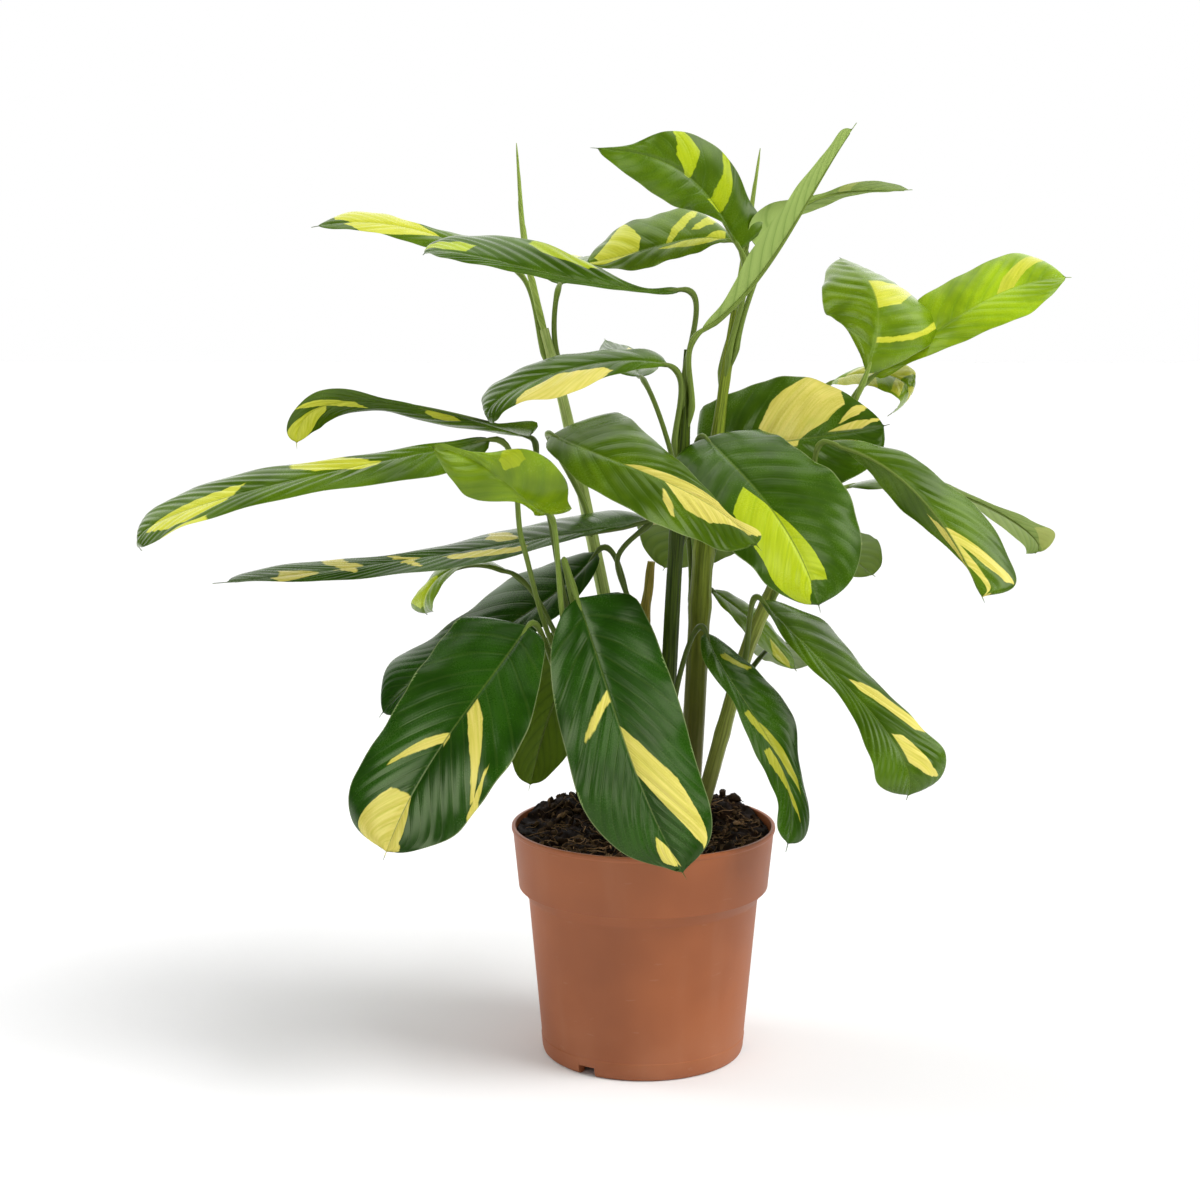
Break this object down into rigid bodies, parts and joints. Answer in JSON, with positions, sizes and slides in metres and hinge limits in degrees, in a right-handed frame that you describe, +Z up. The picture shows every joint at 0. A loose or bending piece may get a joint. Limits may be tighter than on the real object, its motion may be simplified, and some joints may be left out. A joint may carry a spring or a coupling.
{
  "type": "potted ctenanthe",
  "caption": "Leafy variegated house plant with long patterned leaves on thin stalks, growing from soil in a tapered grow pot.",
  "frame": {"origin": "centre of the pot's underside", "axes": "+Z up along the pot's axis, +X to the plant's right as seen from its front, -Y towards its front"},
  "size_m": [0.5931, 0.2967, 0.5933],
  "materials": {
    "pot": "satin, terracotta brown",
    "soil": "loose fibrous peat",
    "stem": "smooth living stem",
    "young_leaf": "soft satin, bright green",
    "leaf": "glossy deep green with cream patches"
  },
  "bodies": {
    "root": {"pot": "pot", "soil": "soil", "cane_middle": "stem", "cane_broad": "stem", "cane_right": "stem", "cane_left": "stem", "leafy_shoot": "stem", "cut_stem": "stem", "new_leaf_left": "young_leaf", "new_leaf_right": "young_leaf", "leaf_upper_left": "leaf", "leaf_upper_left_golden": "leaf", "leaf_upper_back": "leaf", "leaf_top_middle": "leaf", "leaf_top": "leaf", "leaf_top_furled": "leaf", "leaf_top_right": "leaf", "leaf_young_upright": "young_leaf", "leaf_young_right": "young_leaf", "leaf_right_small": "leaf", "leaf_back_cream": "leaf", "leaf_right_arching": "leaf", "leaf_right_slender": "leaf", "leaf_right_tucked": "leaf", "leaf_centre_broad": "leaf", "leaf_centre_front": "leaf", "leaf_middle_left": "leaf", "leaf_middle_back": "leaf", "leaf_left_high": "leaf", "leaf_left_long": "leaf", "leaf_young_left": "young_leaf", "leaf_left_slender": "leaf", "leaf_left_drooping": "leaf", "leaf_front_left": "leaf", "leaf_left_tucked": "leaf", "leaf_front_centre": "leaf", "leaf_inner_hanging": "leaf", "leaf_low_right": "leaf", "leaf_low_hanging": "leaf", "leaf_low_slender": "leaf", "leaf_back_low": "leaf", "leaf_low_tucked": "leaf"}
  },
  "joints": []
}
